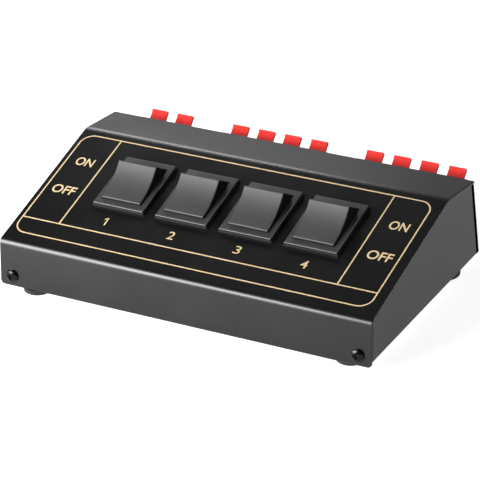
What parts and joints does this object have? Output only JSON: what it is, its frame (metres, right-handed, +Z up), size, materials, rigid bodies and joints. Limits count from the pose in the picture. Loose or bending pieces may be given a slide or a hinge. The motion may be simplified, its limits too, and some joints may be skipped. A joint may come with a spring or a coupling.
{
  "type": "speaker selector switch",
  "caption": "Low wedge-shaped black case with a row of large rocker switches in its sloping top and push terminals for loudspeaker wire on its rear panel.",
  "frame": {"origin": "middle of the footprint, on the surface that the feet stand on", "axes": "+X along the width to the right as seen from the front, -Y towards the front, +Z up"},
  "size_m": [0.185, 0.1189, 0.0465],
  "materials": {
    "case_paint": "satin black baked enamel, fine grain",
    "base_steel": "black enamel",
    "rear_paint": "matt black enamel",
    "foot_rubber": "matt black",
    "black_screws": "black oxide",
    "rivet_metal": "blackened",
    "bezel_plastic": "dark grey nylon, fine grain",
    "rocker_plastic": "grey nylon, satin",
    "plunger_brass": "bright",
    "blade_copper": "bright",
    "tab_brass": "tinned",
    "block_plastic": "black moulded plastic",
    "clip_brass": "tinned",
    "red_plastic": "red moulded plastic",
    "black_plastic": "black moulded plastic",
    "lead_insulation": "red insulation",
    "bus_copper": "tinned"
  },
  "bodies": {
    "case": {"cover": "case_paint", "base_plate": "base_steel", "rear_panel": "rear_paint", "rubber_feet": "foot_rubber", "cover_screws": "black_screws", "rear_screws": "black_screws", "foot_screws": "black_screws", "block_rivets": "rivet_metal", "switch_housing_1": "bezel_plastic", "switch_tabs_1": "tab_brass", "switch_housing_2": "bezel_plastic", "switch_tabs_2": "tab_brass", "switch_housing_3": "bezel_plastic", "switch_tabs_3": "tab_brass", "switch_housing_4": "bezel_plastic", "switch_tabs_4": "tab_brass", "terminal_block_input": "block_plastic", "contact_clips_input": "clip_brass", "terminal_block_output_a": "block_plastic", "contact_clips_output_a": "clip_brass", "terminal_block_output_b": "block_plastic", "contact_clips_output_b": "clip_brass", "output_leads": "lead_insulation", "feed_leads": "lead_insulation", "return_bus": "bus_copper"},
    "rocker_1": {"rocker_1": "rocker_plastic", "spring_plungers_1": "plunger_brass"},
    "blades_1": {"contact_blades_1": "blade_copper"},
    "rocker_2": {"rocker_2": "rocker_plastic", "spring_plungers_2": "plunger_brass"},
    "blades_2": {"contact_blades_2": "blade_copper"},
    "rocker_3": {"rocker_3": "rocker_plastic", "spring_plungers_3": "plunger_brass"},
    "blades_3": {"contact_blades_3": "blade_copper"},
    "rocker_4": {"rocker_4": "rocker_plastic", "spring_plungers_4": "plunger_brass"},
    "blades_4": {"contact_blades_4": "blade_copper"},
    "red_lever_input_1": {"red_lever_input_1": "red_plastic"},
    "black_lever_input_1": {"black_lever_input_1": "black_plastic"},
    "red_lever_input_2": {"red_lever_input_2": "red_plastic"},
    "black_lever_input_2": {"black_lever_input_2": "black_plastic"},
    "red_lever_output_a_1": {"red_lever_output_a_1": "red_plastic"},
    "black_lever_output_a_1": {"black_lever_output_a_1": "black_plastic"},
    "red_lever_output_a_2": {"red_lever_output_a_2": "red_plastic"},
    "black_lever_output_a_2": {"black_lever_output_a_2": "black_plastic"},
    "red_lever_output_a_3": {"red_lever_output_a_3": "red_plastic"},
    "black_lever_output_a_3": {"black_lever_output_a_3": "black_plastic"},
    "red_lever_output_a_4": {"red_lever_output_a_4": "red_plastic"},
    "black_lever_output_a_4": {"black_lever_output_a_4": "black_plastic"},
    "red_lever_output_b_1": {"red_lever_output_b_1": "red_plastic"},
    "black_lever_output_b_1": {"black_lever_output_b_1": "black_plastic"},
    "red_lever_output_b_2": {"red_lever_output_b_2": "red_plastic"},
    "black_lever_output_b_2": {"black_lever_output_b_2": "black_plastic"},
    "red_lever_output_b_3": {"red_lever_output_b_3": "red_plastic"},
    "black_lever_output_b_3": {"black_lever_output_b_3": "black_plastic"},
    "red_lever_output_b_4": {"red_lever_output_b_4": "red_plastic"},
    "black_lever_output_b_4": {"black_lever_output_b_4": "black_plastic"}
  },
  "joints": [
    {"name": "rocker_1_tilt", "type": "hinge", "parent": "case", "child": "rocker_1", "pos_m": [-0.04872, -0.00824, 0.03268], "axis": [1, 0, 0], "range_deg": [-35.6, 0]},
    {"name": "blades_1_tilt", "type": "hinge", "parent": "case", "child": "blades_1", "pos_m": [-0.04872, -0.00583, 0.0238], "axis": [1, 0, 0], "range_deg": [0, 12.01]},
    {"name": "rocker_2_tilt", "type": "hinge", "parent": "case", "child": "rocker_2", "pos_m": [-0.01657, -0.00824, 0.03268], "axis": [1, 0, 0], "range_deg": [-35.6, 0]},
    {"name": "blades_2_tilt", "type": "hinge", "parent": "case", "child": "blades_2", "pos_m": [-0.01657, -0.00583, 0.0238], "axis": [1, 0, 0], "range_deg": [0, 12.01]},
    {"name": "rocker_3_tilt", "type": "hinge", "parent": "case", "child": "rocker_3", "pos_m": [0.01558, -0.00824, 0.03268], "axis": [1, 0, 0], "range_deg": [-35.6, 0]},
    {"name": "blades_3_tilt", "type": "hinge", "parent": "case", "child": "blades_3", "pos_m": [0.01558, -0.00583, 0.0238], "axis": [1, 0, 0], "range_deg": [0, 12.01]},
    {"name": "rocker_4_tilt", "type": "hinge", "parent": "case", "child": "rocker_4", "pos_m": [0.04772, -0.00824, 0.03268], "axis": [1, 0, 0], "range_deg": [-35.6, 0]},
    {"name": "blades_4_tilt", "type": "hinge", "parent": "case", "child": "blades_4", "pos_m": [0.04772, -0.00583, 0.0238], "axis": [1, 0, 0], "range_deg": [0, 12.01]},
    {"name": "red_lever_input_1_press", "type": "hinge", "parent": "case", "child": "red_lever_input_1", "pos_m": [-0.0737, 0.04822, 0.03301], "axis": [-1, 0, 0], "range_deg": [0, 24], "stiffness_Nm_per_rad": 0.012, "springref_deg": -20.05},
    {"name": "black_lever_input_1_press", "type": "hinge", "parent": "case", "child": "black_lever_input_1", "pos_m": [-0.0737, 0.05004, 0.0147], "axis": [1, 0, 0], "range_deg": [0, 24], "stiffness_Nm_per_rad": 0.012, "springref_deg": -20.05},
    {"name": "red_lever_input_2_press", "type": "hinge", "parent": "case", "child": "red_lever_input_2", "pos_m": [-0.0601, 0.04822, 0.03301], "axis": [-1, 0, 0], "range_deg": [0, 24], "stiffness_Nm_per_rad": 0.012, "springref_deg": -20.05},
    {"name": "black_lever_input_2_press", "type": "hinge", "parent": "case", "child": "black_lever_input_2", "pos_m": [-0.0601, 0.05004, 0.0147], "axis": [1, 0, 0], "range_deg": [0, 24], "stiffness_Nm_per_rad": 0.012, "springref_deg": -20.05},
    {"name": "red_lever_output_a_1_press", "type": "hinge", "parent": "case", "child": "red_lever_output_a_1", "pos_m": [-0.0303, 0.04822, 0.03301], "axis": [-1, 0, 0], "range_deg": [0, 24], "stiffness_Nm_per_rad": 0.012, "springref_deg": -20.05},
    {"name": "black_lever_output_a_1_press", "type": "hinge", "parent": "case", "child": "black_lever_output_a_1", "pos_m": [-0.0303, 0.05004, 0.0147], "axis": [1, 0, 0], "range_deg": [0, 24], "stiffness_Nm_per_rad": 0.012, "springref_deg": -20.05},
    {"name": "red_lever_output_a_2_press", "type": "hinge", "parent": "case", "child": "red_lever_output_a_2", "pos_m": [-0.0167, 0.04822, 0.03301], "axis": [-1, 0, 0], "range_deg": [0, 24], "stiffness_Nm_per_rad": 0.012, "springref_deg": -20.05},
    {"name": "black_lever_output_a_2_press", "type": "hinge", "parent": "case", "child": "black_lever_output_a_2", "pos_m": [-0.0167, 0.05004, 0.0147], "axis": [1, 0, 0], "range_deg": [0, 24], "stiffness_Nm_per_rad": 0.012, "springref_deg": -20.05},
    {"name": "red_lever_output_a_3_press", "type": "hinge", "parent": "case", "child": "red_lever_output_a_3", "pos_m": [-0.0031, 0.04822, 0.03301], "axis": [-1, 0, 0], "range_deg": [0, 24], "stiffness_Nm_per_rad": 0.012, "springref_deg": -20.05},
    {"name": "black_lever_output_a_3_press", "type": "hinge", "parent": "case", "child": "black_lever_output_a_3", "pos_m": [-0.0031, 0.05004, 0.0147], "axis": [1, 0, 0], "range_deg": [0, 24], "stiffness_Nm_per_rad": 0.012, "springref_deg": -20.05},
    {"name": "red_lever_output_a_4_press", "type": "hinge", "parent": "case", "child": "red_lever_output_a_4", "pos_m": [0.0105, 0.04822, 0.03301], "axis": [-1, 0, 0], "range_deg": [0, 24], "stiffness_Nm_per_rad": 0.012, "springref_deg": -20.05},
    {"name": "black_lever_output_a_4_press", "type": "hinge", "parent": "case", "child": "black_lever_output_a_4", "pos_m": [0.0105, 0.05004, 0.0147], "axis": [1, 0, 0], "range_deg": [0, 24], "stiffness_Nm_per_rad": 0.012, "springref_deg": -20.05},
    {"name": "red_lever_output_b_1_press", "type": "hinge", "parent": "case", "child": "red_lever_output_b_1", "pos_m": [0.0388, 0.04822, 0.03301], "axis": [-1, 0, 0], "range_deg": [0, 24], "stiffness_Nm_per_rad": 0.012, "springref_deg": -20.05},
    {"name": "black_lever_output_b_1_press", "type": "hinge", "parent": "case", "child": "black_lever_output_b_1", "pos_m": [0.0388, 0.05004, 0.0147], "axis": [1, 0, 0], "range_deg": [0, 24], "stiffness_Nm_per_rad": 0.012, "springref_deg": -20.05},
    {"name": "red_lever_output_b_2_press", "type": "hinge", "parent": "case", "child": "red_lever_output_b_2", "pos_m": [0.0524, 0.04822, 0.03301], "axis": [-1, 0, 0], "range_deg": [0, 24], "stiffness_Nm_per_rad": 0.012, "springref_deg": -20.05},
    {"name": "black_lever_output_b_2_press", "type": "hinge", "parent": "case", "child": "black_lever_output_b_2", "pos_m": [0.0524, 0.05004, 0.0147], "axis": [1, 0, 0], "range_deg": [0, 24], "stiffness_Nm_per_rad": 0.012, "springref_deg": -20.05},
    {"name": "red_lever_output_b_3_press", "type": "hinge", "parent": "case", "child": "red_lever_output_b_3", "pos_m": [0.066, 0.04822, 0.03301], "axis": [-1, 0, 0], "range_deg": [0, 24], "stiffness_Nm_per_rad": 0.012, "springref_deg": -20.05},
    {"name": "black_lever_output_b_3_press", "type": "hinge", "parent": "case", "child": "black_lever_output_b_3", "pos_m": [0.066, 0.05004, 0.0147], "axis": [1, 0, 0], "range_deg": [0, 24], "stiffness_Nm_per_rad": 0.012, "springref_deg": -20.05},
    {"name": "red_lever_output_b_4_press", "type": "hinge", "parent": "case", "child": "red_lever_output_b_4", "pos_m": [0.0796, 0.04822, 0.03301], "axis": [-1, 0, 0], "range_deg": [0, 24], "stiffness_Nm_per_rad": 0.012, "springref_deg": -20.05},
    {"name": "black_lever_output_b_4_press", "type": "hinge", "parent": "case", "child": "black_lever_output_b_4", "pos_m": [0.0796, 0.05004, 0.0147], "axis": [1, 0, 0], "range_deg": [0, 24], "stiffness_Nm_per_rad": 0.012, "springref_deg": -20.05}
  ],
  "couplings": [
    {"joint": "blades_1_tilt", "follows": "rocker_1_tilt", "ratio": -0.33708},
    {"joint": "blades_2_tilt", "follows": "rocker_2_tilt", "ratio": -0.33708},
    {"joint": "blades_3_tilt", "follows": "rocker_3_tilt", "ratio": -0.33708},
    {"joint": "blades_4_tilt", "follows": "rocker_4_tilt", "ratio": -0.33708}
  ]
}
